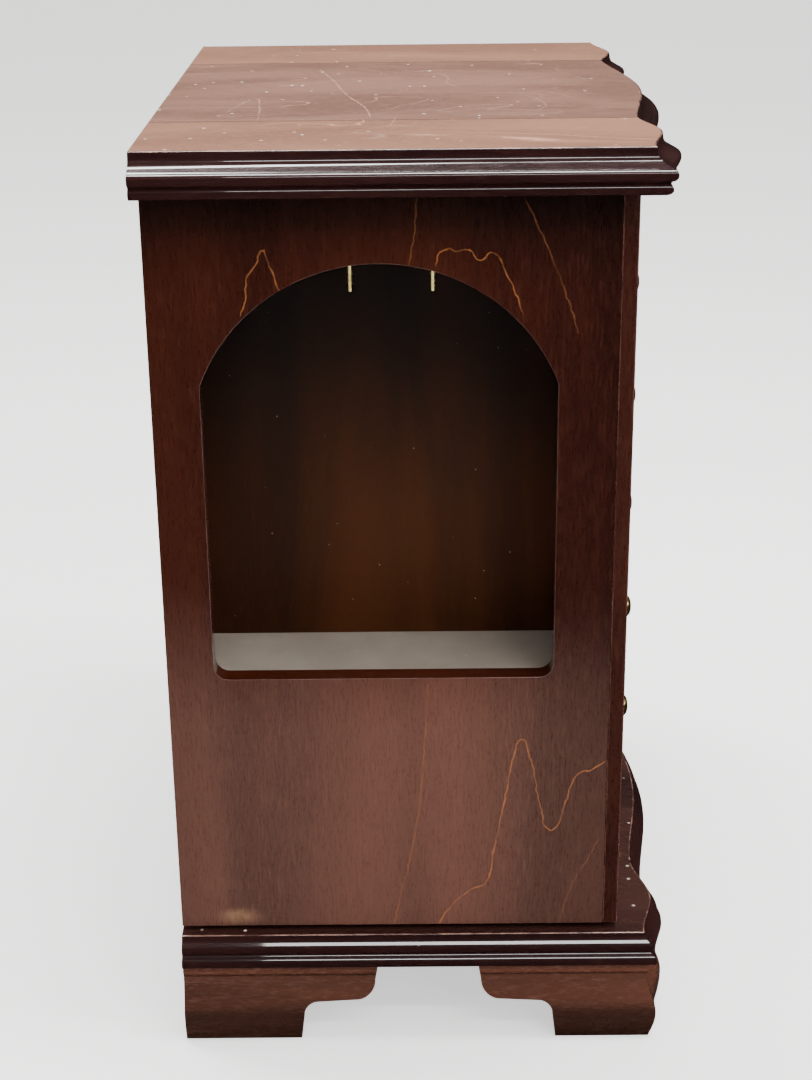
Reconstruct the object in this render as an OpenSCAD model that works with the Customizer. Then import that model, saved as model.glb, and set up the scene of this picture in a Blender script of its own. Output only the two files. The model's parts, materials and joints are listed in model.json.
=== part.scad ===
// Tabletop jewellery chest: five drawers, a well under a hinged lid, and a glazed door on each side
// that opens a hanging space for necklaces. Front is -Y, +Z is up, the feet stand on Z = 0.

/* [Case] */
// Width across the outer faces of the two side doors
case_w = 228; // [200:1:280]
// Depth of a side door, from its back edge to its front edge
case_d = 160; // [140:1:200]
// Thickness of the wooden boards inside the case
board_t = 6; // [4:0.5:8]
// Thickness of the back panel
back_t = 3; // [2:0.5:5]
// How far the front boards stand behind the doors' front edges
face_inset = 1.5; // [0.5:0.5:4]
// Thickness of the front boards and drawer fronts
front_t = 8; // [6:0.5:10]
// Depth of the hanging space, from the door to the inner wall
hang_w = 34; // [28:0.5:40]
// Thickness of the inner walls
wall_t = 4; // [3:0.5:6]

/* [Doors] */
// Height of a side door
door_h = 270; // [250:1:330]
// Thickness of a side door
door_t = 10; // [8:0.5:14]
// Gap above a door
door_gap_top = 1.3; // [0.8:0.1:3]
// Gap below a door
door_gap_bottom = 2; // [0.8:0.1:3]
// Gap between a closed door and the case
door_gap_side = 0.6; // [0.4:0.1:1]
// Width of the solid strip on a door's front edge
edge_strip = 5.5; // [3:0.5:10]
// Half the width of the arched window
window_half_w = 59.25; // [40:0.25:62]
// Height of the sill above the door's bottom edge
window_sill = 100.1; // [90:0.1:120]
// Height where the window's straight sides end
window_spring = 206.9; // [150:0.1:215]
// Radius of the window's arch
window_arch_r = 63.4; // [62.5:0.1:80]
// How far the window's middle lies behind the door's middle
window_shift = 4.35; // [0:0.05:8]
// Radius of the window's lower corners
window_corner_r = 5; // [2:0.5:10]
// Thickness of the glass
glass_t = 2; // [1.5:0.1:3]
// Width of the rebate that holds the glass
rebate_w = 4; // [3:0.5:6]

/* [Base] */
// Height of the bracket feet
foot_h = 31.4; // [20:0.2:45]
// Thickness of a foot's boards
foot_t = 10; // [7:0.5:14]
// Length of a front foot at the floor
foot_front_len = 32; // [25:1:45]
// Length of a back foot at the floor
foot_back_len = 43; // [25:1:45]
// Thickness of the base plate
base_t = 12; // [9:0.5:18]
// How far the base plate's upper edge stands out past the doors
base_side = 3.5; // [2:0.5:8]
// How far its lower bead stands out past that edge
base_bead = 4.5; // [3:0.25:6]
// How far a foot's bulge stands out past that edge
foot_bulge = 4.8; // [3:0.2:6]
// How far the base plate's back edge stands behind the doors
base_back = 0; // [-2:0.5:2]

/* [Top] */
// Thickness of the top frame with the lower moulding
frame_t = 8.6; // [7:0.2:12]
// Thickness of the lid and the top strips
slab_t = 5.7; // [5:0.1:9]
// Width of each fixed top strip, measured in from the door's outer face
strip_w = 45.5; // [42:0.5:50]
// How far the top's upper edge stands out past the doors
top_side = 8; // [4:0.5:12]
// How far the moulding's nose stands out past that edge
nose = 6.5; // [4:0.25:9]
// How far the top's back edge stands behind the doors
top_back = 1.5; // [0:0.25:3]
// Gap between the lid and the strips and frame
lid_gap = 0.4; // [0.3:0.1:1]

/* [Shaped front] */
// Distance of an ear's tip from the middle, as placed on the moulding
ear_x = 92; // [85:1:110]
// Distance of a notch from the middle
notch_x = 67; // [55:1:78]
// Reach of the top's corners past the doors' front edges
corner_reach = 3.5; // [1:0.25:6]
// Reach of the top's ears
ear_reach = 8.5; // [3:0.25:12]
// Reach of the top's notches
notch_reach = 3.5; // [1:0.25:6]
// Reach of the top's bow at the middle
bow_reach = 11; // [6:0.25:16]
// How much further forward the base's shaped edge stands than the top's upper edge
base_forward = 6.2; // [3:0.1:8]

/* [Drawers] */
// Height of the bottom rail under the lowest drawer
rail_h = 12; // [9:0.5:20]
// Distance from one drawer to the next
drawer_pitch = 45; // [36:0.5:50]
// Gap round each drawer front
front_gap = 0.8; // [0.5:0.1:1.5]
// Gap between a drawer box and the walls beside it
box_gap = 1; // [0.5:0.1:2]
// How much lower a drawer box is than the distance between drawers
box_drop = 11; // [10.5:0.5:16]
// Thickness of a drawer box's sides
box_side_t = 5; // [4:0.5:7]
// Thickness of a drawer's bottom
box_bottom_t = 3; // [2:0.5:4]
// Diameter of a knob's head
knob_d = 10; // [8:0.5:16]
// How far a knob stands out from its drawer
knob_len = 15; // [10:0.2:20]
// Thickness of the felt
felt_t = 1.5; // [1:0.1:3]

/* [Fittings] */
// Radius of a hinge barrel
barrel_r = 1.4; // [1.2:0.1:2]
// Radius of a hinge pin
pin_r = 0.7; // [0.5:0.05:0.9]
// Radial clearance of a hinge pin
pin_clear = 0.04; // [0.02:0.01:0.1]
// Thickness of a hinge leaf
leaf_t = 0.8; // [0.6:0.1:1.2]
// Length of a hinge
hinge_len = 24; // [18:1:40]
// Radius of a necklace hook's wire
hook_wire_r = 0.75; // [0.6:0.05:1.2]
// Distance between the two hooks of one side
hook_spacing = 27.5; // [20:0.5:50]
// Thickness of the mirror
mirror_t = 2; // [1.5:0.1:3]

/* [Hidden] */

wood = [0.30, 0.13, 0.08];
dark_wood = [0.13, 0.05, 0.05];
box_wood = [0.62, 0.47, 0.33];
felt = [0.45, 0.43, 0.42];
brass = [0.83, 0.66, 0.30];
glass = [0.75, 0.80, 0.80, 0.4];

$fn = 48;
eps = 0.01;
big = 400;

// Depth: the lid's hinge barrels reach furthest back, the moulding's bow furthest forward
lid_pivot_out = 0.3;
y_span_front = bow_reach + max(nose, base_forward + base_bead);
y_span_back = top_back + lid_pivot_out + barrel_r;
y_back = (case_d + y_span_front - y_span_back) / 2;
y_front = y_back - case_d;
y_face = y_front + face_inset;

// Heights
z_base = foot_h;
z_case = foot_h + base_t;
z_door = z_case + door_gap_bottom;
z_frame = z_door + door_h + door_gap_top;
z_slab = z_frame + frame_t;
z_lid = z_slab + lid_gap;
z_top = z_slab + slab_t + lid_gap;

// Widths, measured out from the middle
x_door_out = case_w / 2;
x_door_in = x_door_out - door_t;
x_case = x_door_in - door_gap_side;
x_wall_out = x_door_in - hang_w;
x_wall_in = x_wall_out - wall_t;
x_low_in = x_case - board_t;
x_lid = x_door_out - strip_w;

// Back posts carry the door hinges
post_w = 12;
post_d = 7;
y_panel = y_back - back_t;
y_post = y_panel - post_d;

// Drawers: two wide ones under the deck, three narrow ones between the inner walls
wide_count = 2;
drawer_count = 5;
z_first = z_case + rail_h;
deck_t = 5;
z_deck = z_first + wide_count * drawer_pitch - 2 * felt_t;
function is_wide(i) = i < wide_count;
function front_z(i) = z_first + i * drawer_pitch + front_gap / 2;
function front_h(i) = drawer_pitch - front_gap;
function opening_x(i) = is_wide(i) ? x_low_in : x_wall_in;
function front_x(i) = is_wide(i) ? x_case : x_wall_in - front_gap;
wide_proud = 1;
box_lift = 2;
deck_lift = 3.5;
box_back_gap = 6;
function box_z(i) = front_z(i) + (i == wide_count ? deck_lift : box_lift);
function face_y(i) = is_wide(i) ? y_face - wide_proud : y_face;
box_h = drawer_pitch - box_drop;
box_end = y_post - box_back_gap;
runner_w = 8;
runner_h = 4;
runner_gap = 0.3;

// The well under the lid
well_floor_t = 4;
z_well = z_first + drawer_count * drawer_pitch;
well_bar = 8;
x_well = x_wall_in;
y_well_front = y_face + front_t;
y_well_back = y_panel - well_bar;

// Shaped front: reach past the doors' front edges at a distance a from the middle
function smooth(t) = t * t * (3 - 2 * t);
function front_reach(a, half) =
  a >= ear_x ? corner_reach + (ear_reach - corner_reach) * smooth(max(0, (half - a) / (half - ear_x)))
  : a >= notch_x ? notch_reach + (ear_reach - notch_reach) * smooth((a - notch_x) / (ear_x - notch_x))
  : notch_reach + (bow_reach - notch_reach) * pow(cos(90 * a / notch_x), 1.5);

// Plan of one layer: how far it stands out past the doors at the sides, front and back
plan_steps = 60;
function plan(side, front, back) =
  let (half = x_door_out + side)
  concat(
    [for (i = [0 : plan_steps]) let (x = half * (2 * i / plan_steps - 1))
      [x, y_front - front - front_reach(abs(x), half)]],
    [[half, y_back + back], [-half, y_back + back]]);

module layer(z, h, side, front, back) {
  translate([0, 0, z]) linear_extrude(h) polygon(plan(side, front, back));
}

// Layers on top of each other; steps lists [share of the height h where it starts, extra reach]
module stack(z, h, steps, side, front, back) {
  last = len(steps) - 1;
  for (i = [0 : last]) {
    low = steps[i][0] * h - (i > 0 ? eps : 0);
    top = (i < last ? steps[i + 1][0] : 1) * h;
    layer(z + low, top - low, side + steps[i][1], front + steps[i][1], back);
  }
}

module block(x0, x1, y0, y1, z0, z1) {
  translate([x0, y0, z0]) cube([x1 - x0, y1 - y0, z1 - z0]);
}

// Everything is modelled for the right side; the left side is its mirror image
module on_side(s) {
  if (s < 0) mirror([1, 0, 0]) children();
  else children();
}

module both_sides() {
  children();
  mirror([1, 0, 0]) children();
}

// Draws a shape given as [y, z] and gives it a thickness along +X from x
module upright(x, t) {
  translate([x, 0, 0]) rotate([90, 0, 90]) linear_extrude(t) children();
}

// ---- Base and feet ----

// Two beads: reach past the upper edge at heights given as shares of the thickness
base_steps = [[0, 0.72 * base_bead], [0.12, base_bead], [0.4, 0.5 * base_bead],
  [0.5, 0.58 * base_bead], [0.86, 0]];

module base_plate() {
  color(dark_wood) stack(z_base, base_t, base_steps, base_side, base_forward, base_back);
}

// Ogee face of a foot: reach past the base plate's upper edge, from the floor up
foot_steps = [[0, 0.54 * foot_bulge], [0.08, 0.75 * foot_bulge], [0.2, 0.94 * foot_bulge],
  [0.34, foot_bulge], [0.46, 0.71 * foot_bulge], [0.6, 0.42 * foot_bulge],
  [0.76, 0.3 * foot_bulge], [0.9, 0.5 * foot_bulge]];

module foot_body() {
  stack(0, foot_h, foot_steps, base_side, base_forward, base_back);
}

// Scrolled end of a foot's board: s runs inward from the corner, z up from the floor
scroll_len = 29;
function scroll(len) = concat(
  [[-20, -eps], [len, -eps], [len + 0.05 * scroll_len, 0.36 * foot_h]],
  [for (a = [180 : -22.5 : 90]) [len + scroll_len * (0.23 + 0.18 * cos(a)),
    foot_h * (0.38 + 0.15 * sin(a))]],
  [for (a = [-90 : 22.5 : 0]) [len + scroll_len * (0.72 + 0.24 * cos(a)),
    foot_h * (0.78 + 0.23 * sin(a))]],
  [[len + scroll_len, foot_h], [-20, foot_h]]);

module foot(s, front) {
  len = front ? foot_front_len : foot_back_len;
  side_x = x_door_out + base_side - foot_t;
  y_end = front ? y_front - base_forward - corner_reach : y_back + base_back;
  turn = front ? 1 : -1;
  board_y = front ? y_end + foot_t : y_end - foot_t;
  color(wood) on_side(s) intersection() {
    foot_body();
    union() {
      upright(side_x, big) translate([y_end, 0]) scale([turn, 1]) polygon(scroll(len));
      translate([x_door_out + base_side, front ? board_y : board_y + big, 0])
        rotate([90, 0, 0]) linear_extrude(big) mirror([1, 0]) polygon(scroll(foot_front_len));
    }
  }
}

block_leg = 16;
module glue_blocks() {
  x = x_door_out + base_side - foot_t;
  yf = y_front - base_forward - corner_reach + foot_t;
  yb = y_back + base_back - foot_t;
  color(box_wood) both_sides() {
    translate([x, yf, z_base - block_leg]) linear_extrude(block_leg)
      polygon([[0, 0], [-block_leg, 0], [0, block_leg]]);
    translate([x, yb, z_base - block_leg]) linear_extrude(block_leg)
      polygon([[0, 0], [-block_leg, 0], [0, -block_leg]]);
  }
}

// ---- Case ----

module back_panel() {
  color(wood) difference() {
    block(-x_case, x_case, y_panel, y_back, z_case, z_frame);
    both_sides() {
      barrel_room();
      case_leaves(1);
    }
  }
}

module back_posts() {
  color(wood) difference() {
    both_sides() block(x_case - post_w, x_case, y_post, y_panel, z_case, z_frame);
    both_sides() case_leaves(1);
  }
}

module lower_sides() {
  color(wood) both_sides()
    block(x_low_in, x_case, y_face + front_t, y_post, z_case, z_deck - deck_t);
}

module bottom_rail() {
  color(wood) block(-x_case, x_case, y_face, y_face + front_t, z_case, z_first - front_gap / 2);
}

module deck_panel() {
  color(wood) difference() {
    block(-x_case, x_case, y_face + front_t, y_panel, z_deck - deck_t, z_deck);
    both_sides() block(x_case - post_w, big, y_post, big, 0, big);
  }
}

module inner_wall(s) {
  color(wood) on_side(s)
    block(x_wall_in, x_wall_out, y_face + front_t, y_panel, z_deck, z_frame);
}

module front_panel(s) {
  color(wood) on_side(s)
    block(x_wall_in, x_case, y_face, y_face + front_t, front_z(wide_count), z_frame);
}

module top_rail() {
  color(wood) block(-x_wall_in, x_wall_in, y_face, y_face + front_t, z_well + front_gap / 2, z_frame);
}

// Runners carry the drawer boxes; the lowest pair stands on the base plate
module runners() {
  color(box_wood) both_sides() for (i = [0 : drawer_count - 1]) {
    top = box_z(i) - runner_gap;
    low = i == 0 ? z_case : i == wide_count ? z_deck : top - runner_h;
    block(opening_x(i) - runner_w, opening_x(i), y_face + front_t, box_end, low, top);
  }
}

module well_floor() {
  color(box_wood) block(-x_well, x_well, y_well_front, y_panel, z_well - well_floor_t / 2,
    z_well + well_floor_t / 2);
}

module well_felt() {
  low = z_well + well_floor_t / 2;
  color(felt) difference() {
    block(-x_well, x_well, y_well_front, y_panel, low, z_frame);
    block(-x_well + felt_t, x_well - felt_t, y_well_front + felt_t, y_panel - felt_t, low + felt_t,
      big);
  }
}

ceiling_t = 9;
module ceilings() {
  color(wood) both_sides()
    block(x_wall_out, x_case - 1, y_face + front_t, y_post, z_frame - ceiling_t, z_frame);
}

module floor_felts() {
  color(felt) both_sides()
    block(x_wall_out, x_case, y_face + front_t, y_post, z_deck, z_deck + felt_t);
}

// A J of brass wire with a collar, screwed into the ceiling of the hanging space
hook_drop = 33;
hook_bend_r = 4.6;
hook_in = 6.4;
hook_collar_r = 3.4;
hook_collar_h = 1.2;
hook_tip_h = 4;
module hook_at(x, y) {
  top = z_frame - ceiling_t;
  bend_z = top - hook_drop + hook_bend_r + hook_wire_r;
  translate([x, y, 0]) {
    translate([0, 0, top - hook_collar_h]) cylinder(r = hook_collar_r, h = hook_collar_h);
    translate([0, 0, bend_z]) cylinder(r = hook_wire_r, h = top - bend_z);
    translate([-hook_bend_r, 0, bend_z]) rotate([90, 0, 0]) rotate([0, 0, 180])
      rotate_extrude(angle = 180) translate([hook_bend_r, 0]) circle(hook_wire_r);
    translate([-2 * hook_bend_r, 0, bend_z - eps]) cylinder(r = hook_wire_r, h = hook_tip_h);
    translate([-2 * hook_bend_r, 0, bend_z + hook_tip_h]) sphere(r = 1.5 * hook_wire_r);
  }
}

module necklace_hooks() {
  y = (y_front + y_back) / 2;
  color(brass) both_sides() for (k = [-1, 1]) hook_at(x_case - hook_in, y + k * hook_spacing / 2);
}

// ---- Top ----

// Lower moulding: a roll, a groove and the nose; reach past the top's upper edge
frame_steps = [[0, 0.55 * nose], [0.14, 0.78 * nose], [0.42, 0.62 * nose], [0.54, 0.9 * nose],
  [0.68, nose], [0.88, 0.92 * nose]];
module top_frame() {
  color(dark_wood) difference() {
    stack(z_frame, frame_t, frame_steps, top_side, 0, top_back);
    block(-x_well, x_well, y_well_front, y_well_back, 0, big);
    lid_hinge_pockets(z_slab - leaf_t, leaf_t + 1);
    lid_barrel_room();
  }
}

// Upper layer of the top: a cove under a thin upper edge
slab_steps = [[0, 0.75 * nose], [0.2, 0.45 * nose], [0.4, 0.2 * nose], [0.55, 0]];
module slab(low) {
  stack(low, z_top - low, slab_steps, top_side, 0, top_back);
}

module top_strip(s) {
  color(dark_wood) on_side(s) intersection() {
    slab(z_slab);
    block(x_lid, big, -big, big, 0, big);
  }
}

module lid() {
  color(wood) difference() {
    intersection() {
      slab(z_lid);
      block(-x_lid + lid_gap, x_lid - lid_gap, -big, big, 0, big);
    }
    lid_hinge_pockets(z_lid - 1, leaf_t + 1);
    lid_barrel_room();
  }
}

module lid_mirror() {
  mirror_inset = 3;
  color(glass) block(-x_well + mirror_inset, x_well - mirror_inset,
    y_well_front + mirror_inset, y_well_back - mirror_inset,
    z_lid - mirror_t, z_lid);
}

// ---- Side doors ----

function arch_centre_z() = window_spring - sqrt(pow(window_arch_r, 2) - pow(window_half_w, 2));

// The window's outline in a door, grown by g, with y from the door's middle and z from its bottom
module window(g) {
  w = window_half_w + g;
  r = window_corner_r + g;
  low = window_sill - g;
  translate([window_shift, 0]) {
    intersection() {
      translate([0, arch_centre_z()]) circle(window_arch_r + g, $fn = 96);
      translate([-w, low + r]) square([2 * w, big]);
    }
    translate([-w, low + r]) square([2 * w, window_spring - low - 2 * r]);
    translate([-w + r, low]) square([2 * (w - r), r + eps]);
    for (k = [-1, 1]) translate([k * (w - r), low + r]) circle(r);
  }
}

module in_door(x, t) {
  translate([0, (y_front + y_back) / 2, z_door]) upright(x, t) children();
}

module door(s) {
  color(wood) on_side(s) difference() {
    block(x_door_in, x_door_out, y_front + edge_strip, y_back, z_door, z_door + door_h);
    in_door(x_door_in - 1, door_t + 2) window(0);
    in_door(x_door_in - 1, glass_t + 1.2) window(rebate_w);
    barrel_room();
    door_leaf_pair(1);
  }
}

module door_edge(s) {
  color(wood) on_side(s)
    block(x_door_in, x_door_out, y_front, y_front + edge_strip, z_door, z_door + door_h);
}

module door_glass(s) {
  color(glass) on_side(s) in_door(x_door_in + 0.2, glass_t) window(rebate_w - 0.4);
}

// Small plates screwed to the door's inner face, overlapping the glass, and a striker plate
clip_l = 12;
clip_w = 5.5;
clip_t = 0.9;
clip_hold = 2;
module door_clips(s) {
  y0 = (y_front + y_back) / 2 + window_shift;
  reach = window_half_w + rebate_w + clip_hold - clip_w / 2;
  color(brass) on_side(s) for (z = [window_sill + 20, window_spring - 12]) for (k = [-1, 1])
    block(x_door_in - clip_t, x_door_in, y0 + k * reach - clip_w / 2, y0 + k * reach + clip_w / 2,
      z_door + z - clip_l / 2, z_door + z + clip_l / 2);
}

// ---- Hinges ----

// Door hinges stand in the joint between door and case, their barrels on the case's back edge
x_pivot = x_door_in - door_gap_side / 2;
y_pivot = y_back;
hinge_inset = 34;
hinge_zs = [z_door + hinge_inset, z_door + door_h - hinge_inset];
leaf_w = 8;
knuckle = hinge_len / 3;
knuckle_gap = 0.2;

module barrel_room() {
  for (z = hinge_zs) translate([x_pivot, y_pivot, z - hinge_len / 2 - 0.5])
    cylinder(r = barrel_r + 0.4, h = hinge_len + 1);
}

// The case leaf carries the outer knuckles and the pin, the door leaf the middle knuckle
module leaf_plate(z, x, reach) {
  block(min(x, x + reach), max(x, x + reach), y_pivot - barrel_r - leaf_w, y_pivot,
    z - hinge_len / 2, z + hinge_len / 2);
}

// Pockets for the leaves, open towards the joint and past the back edge by extra
module case_leaves(extra) {
  for (z = hinge_zs) leaf_plate(z, x_case - leaf_t, leaf_t + extra);
}

module door_leaf_pair(extra) {
  for (z = hinge_zs) leaf_plate(z, x_door_in + leaf_t, -leaf_t - extra);
}

module door_hinges() {
  half = hinge_len / 2;
  color(brass) both_sides() {
    for (z = hinge_zs) {
      difference() {
        union() {
          leaf_plate(z, x_case - leaf_t, leaf_t);
          block(x_case - leaf_t, x_pivot, y_pivot - barrel_r - 1, y_pivot, z - half, z + half);
        }
        translate([x_pivot, y_pivot, z - knuckle / 2 - knuckle_gap])
          cylinder(r = barrel_r + 0.3, h = knuckle + 2 * knuckle_gap);
        block(x_case + eps, x_door_in, y_pivot - barrel_r - 2, big,
          z - knuckle / 2 - knuckle_gap, z + knuckle / 2 + knuckle_gap);
      }
      for (k = [-1, 1]) translate([x_pivot, y_pivot, z + k * (knuckle + knuckle_gap / 2) - (knuckle
        - knuckle_gap) / 2]) cylinder(r = barrel_r, h = knuckle - knuckle_gap);
      translate([x_pivot, y_pivot, z - half]) cylinder(r = pin_r, h = hinge_len);
    }
  }
}

module door_leaves(s) {
  half = hinge_len / 2;
  color(brass) on_side(s) for (z = hinge_zs) difference() {
    union() {
      difference() {
        leaf_plate(z, x_door_in, leaf_t);
        for (k = [-1, 1]) translate([x_pivot, y_pivot, z + k * knuckle - knuckle / 2 - knuckle_gap])
          cylinder(r = barrel_r + 0.3, h = knuckle + 2 * knuckle_gap);
      }
      translate([x_pivot, y_pivot, z - knuckle / 2 + knuckle_gap / 2])
        cylinder(r = barrel_r, h = knuckle - knuckle_gap);
    }
    translate([x_pivot, y_pivot, z - half]) cylinder(r = pin_r + pin_clear, h = hinge_len);
  }
}

// Lid hinges lie in the joint between lid and frame, their barrels behind the back edge
lid_pivot_y = y_back + top_back + lid_pivot_out;
lid_pivot_z = z_slab + lid_gap / 2;
lid_hinge_x = x_lid - 26;
lid_leaf_w = 9;

module lid_hinge_pockets(z, h) {
  both_sides() block(lid_hinge_x - hinge_len / 2, lid_hinge_x + hinge_len / 2,
    lid_pivot_y - barrel_r - lid_leaf_w, big, z, z + h);
}

module lid_barrel_room() {
  both_sides() translate([lid_hinge_x, lid_pivot_y, lid_pivot_z]) rotate([0, 90, 0])
    cylinder(r = barrel_r + 0.3, h = hinge_len + 1, center = true);
}

module lid_hinge_plate(z, x0, x1) {
  block(x0, x1, lid_pivot_y - barrel_r - lid_leaf_w, lid_pivot_y, z, z + leaf_t);
}

module lid_hinges() {
  color(brass) both_sides() translate([lid_hinge_x, 0, 0]) {
    difference() {
      lid_hinge_plate(z_slab - leaf_t, -hinge_len / 2, hinge_len / 2);
      translate([-knuckle / 2 - knuckle_gap, lid_pivot_y, lid_pivot_z]) rotate([0, 90, 0])
        cylinder(r = barrel_r + 0.3, h = knuckle + 2 * knuckle_gap);
    }
    for (k = [-1, 1]) translate([k * knuckle, lid_pivot_y, lid_pivot_z]) rotate([0, 90, 0])
      cylinder(r = barrel_r, h = knuckle - knuckle_gap, center = true);
    translate([0, lid_pivot_y, lid_pivot_z]) rotate([0, 90, 0])
      cylinder(r = pin_r, h = hinge_len, center = true);
  }
}

module lid_leaves() {
  color(brass) both_sides() translate([lid_hinge_x, 0, 0]) difference() {
    union() {
      difference() {
        lid_hinge_plate(z_lid, -hinge_len / 2, hinge_len / 2);
        for (k = [-1, 1]) translate([k * knuckle, lid_pivot_y, lid_pivot_z]) rotate([0, 90, 0])
          cylinder(r = barrel_r + 0.3, h = knuckle + 2 * knuckle_gap, center = true);
      }
      translate([0, lid_pivot_y, lid_pivot_z]) rotate([0, 90, 0])
        cylinder(r = barrel_r, h = knuckle - knuckle_gap, center = true);
    }
    translate([0, lid_pivot_y, lid_pivot_z]) rotate([0, 90, 0])
      cylinder(r = pin_r + pin_clear, h = hinge_len + 2, center = true);
  }
}

// ---- Drawers, numbered from the bottom ----

module drawer_front(i) {
  color(wood) block(-front_x(i), front_x(i), face_y(i), y_face + front_t, front_z(i),
    front_z(i) + front_h(i));
}

module drawer_box(i) {
  x = opening_x(i) - box_gap;
  y0 = y_face + front_t;
  color(box_wood) difference() {
    block(-x, x, y0, box_end, box_z(i), box_z(i) + box_h);
    block(-x + box_side_t, x - box_side_t, y0 + box_side_t, box_end - box_side_t,
      box_z(i) + box_bottom_t, big);
  }
}

module drawer_felt(i) {
  x = opening_x(i) - box_gap - box_side_t;
  low = box_z(i) + box_bottom_t;
  color(felt) block(-x, x, y_face + front_t + box_side_t, box_end - box_side_t, low, low + felt_t);
}

// A turned brass knob: rose, waisted stem and round head
module drawer_knob(i) {
  r = knob_d / 2;
  color(brass) translate([0, face_y(i), front_z(i) + front_h(i) / 2]) rotate([90, 0, 0])
    rotate_extrude() polygon([[0, 0], [0.8 * r, 0], [0.8 * r, 1], [0.36 * r, 2],
      [0.3 * r, knob_len - 1.7 * r], [0.6 * r, knob_len - 1.35 * r], [0.93 * r, knob_len - r],
      [r, knob_len - 0.7 * r], [0.88 * r, knob_len - 0.32 * r], [0.55 * r, knob_len - 0.08 * r],
      [0, knob_len]]);
}

base_plate();
foot(-1, true);  // foot_front_left
foot(1, true);  // foot_front_right
foot(-1, false);  // foot_back_left
foot(1, false);  // foot_back_right
glue_blocks();
back_panel();
back_posts();
lower_sides();
bottom_rail();
deck_panel();
inner_wall(-1);  // inner_wall_left
inner_wall(1);  // inner_wall_right
front_panel(-1);  // front_panel_left
front_panel(1);  // front_panel_right
top_rail();
runners();
well_floor();
well_felt();
top_frame();
top_strip(-1);  // top_strip_left
top_strip(1);  // top_strip_right
ceilings();
floor_felts();
necklace_hooks();
door(-1);  // door_left
door(1);  // door_right
door_edge(-1);  // door_edge_left
door_edge(1);  // door_edge_right
door_glass(-1);  // door_glass_left
door_glass(1);  // door_glass_right
door_clips(-1);  // door_clips_left
door_clips(1);  // door_clips_right
door_hinges();
door_leaves(-1);  // door_leaves_left
door_leaves(1);  // door_leaves_right
lid();
lid_mirror();
lid_hinges();
lid_leaves();
drawer_front(0);  // drawer_1_front
drawer_box(0);  // drawer_1_box
drawer_felt(0);  // drawer_1_felt
drawer_knob(0);  // drawer_1_knob
drawer_front(1);  // drawer_2_front
drawer_box(1);  // drawer_2_box
drawer_felt(1);  // drawer_2_felt
drawer_knob(1);  // drawer_2_knob
drawer_front(2);  // drawer_3_front
drawer_box(2);  // drawer_3_box
drawer_felt(2);  // drawer_3_felt
drawer_knob(2);  // drawer_3_knob
drawer_front(3);  // drawer_4_front
drawer_box(3);  // drawer_4_box
drawer_felt(3);  // drawer_4_felt
drawer_knob(3);  // drawer_4_knob
drawer_front(4);  // drawer_5_front
drawer_box(4);  // drawer_5_box
drawer_felt(4);  // drawer_5_felt
drawer_knob(4);  // drawer_5_knob
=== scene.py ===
import json
import math
import bmesh
import bpy
from mathutils import Matrix, Vector

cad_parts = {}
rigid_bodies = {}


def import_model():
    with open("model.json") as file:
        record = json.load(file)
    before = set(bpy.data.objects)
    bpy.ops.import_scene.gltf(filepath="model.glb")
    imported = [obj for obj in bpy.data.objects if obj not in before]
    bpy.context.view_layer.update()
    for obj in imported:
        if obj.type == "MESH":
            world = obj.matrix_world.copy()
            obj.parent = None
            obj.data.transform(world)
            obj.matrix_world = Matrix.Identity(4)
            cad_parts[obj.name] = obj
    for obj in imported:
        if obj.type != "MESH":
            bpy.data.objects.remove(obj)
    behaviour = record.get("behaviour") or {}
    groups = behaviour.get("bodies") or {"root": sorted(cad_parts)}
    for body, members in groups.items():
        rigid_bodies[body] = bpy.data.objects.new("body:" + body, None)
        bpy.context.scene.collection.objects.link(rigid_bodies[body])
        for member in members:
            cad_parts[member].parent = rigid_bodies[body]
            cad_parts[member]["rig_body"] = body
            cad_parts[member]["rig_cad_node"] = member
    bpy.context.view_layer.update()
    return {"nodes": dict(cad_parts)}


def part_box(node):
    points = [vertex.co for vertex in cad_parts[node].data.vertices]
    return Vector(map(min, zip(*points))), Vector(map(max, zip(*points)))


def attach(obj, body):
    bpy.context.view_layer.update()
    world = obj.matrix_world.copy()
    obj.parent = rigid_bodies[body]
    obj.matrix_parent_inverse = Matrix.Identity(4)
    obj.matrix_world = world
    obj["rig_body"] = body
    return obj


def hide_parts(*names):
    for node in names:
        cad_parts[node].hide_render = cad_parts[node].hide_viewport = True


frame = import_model()

mm = 0.001
sides = ("left", "right")
doorLow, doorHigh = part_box("door_left")
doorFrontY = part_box("door_edge_left")[0].y
doorBackY = doorHigh.y
doorMidY = (doorFrontY + doorBackY) / 2
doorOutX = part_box("door_right")[1].x


def deselectAll():
    if bpy.context.object and bpy.context.object.mode != "OBJECT":
        bpy.ops.object.mode_set(mode="OBJECT")
    bpy.ops.object.select_all(action="DESELECT")


def pick(*pieces):
    deselectAll()
    for piece in pieces:
        piece.select_set(True)
    bpy.context.view_layer.objects.active = pieces[0]


def startEdit(piece, what="VERT"):
    pick(piece)
    bpy.ops.object.mode_set(mode="EDIT")
    bpy.ops.mesh.select_mode(type=what)
    bpy.ops.mesh.select_all(action="DESELECT")
    return bmesh.from_edit_mesh(piece.data)


def showPicked(piece, bm):
    bm.select_flush_mode()
    bmesh.update_edit_mesh(piece.data)


def endEdit():
    bpy.ops.object.mode_set(mode="OBJECT")


def pickAll():
    bpy.ops.mesh.select_all(action="SELECT")


def extrude(x, y, z):
    bpy.ops.mesh.extrude_region_move(TRANSFORM_OT_translate={"value": (x, y, z)})


def faceOut(merge=0):
    # merges doubles if asked, and turns every face outwards
    pickAll()
    if merge:
        bpy.ops.mesh.remove_doubles(threshold=merge)
    bpy.ops.mesh.normals_make_consistent(inside=False)


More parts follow.
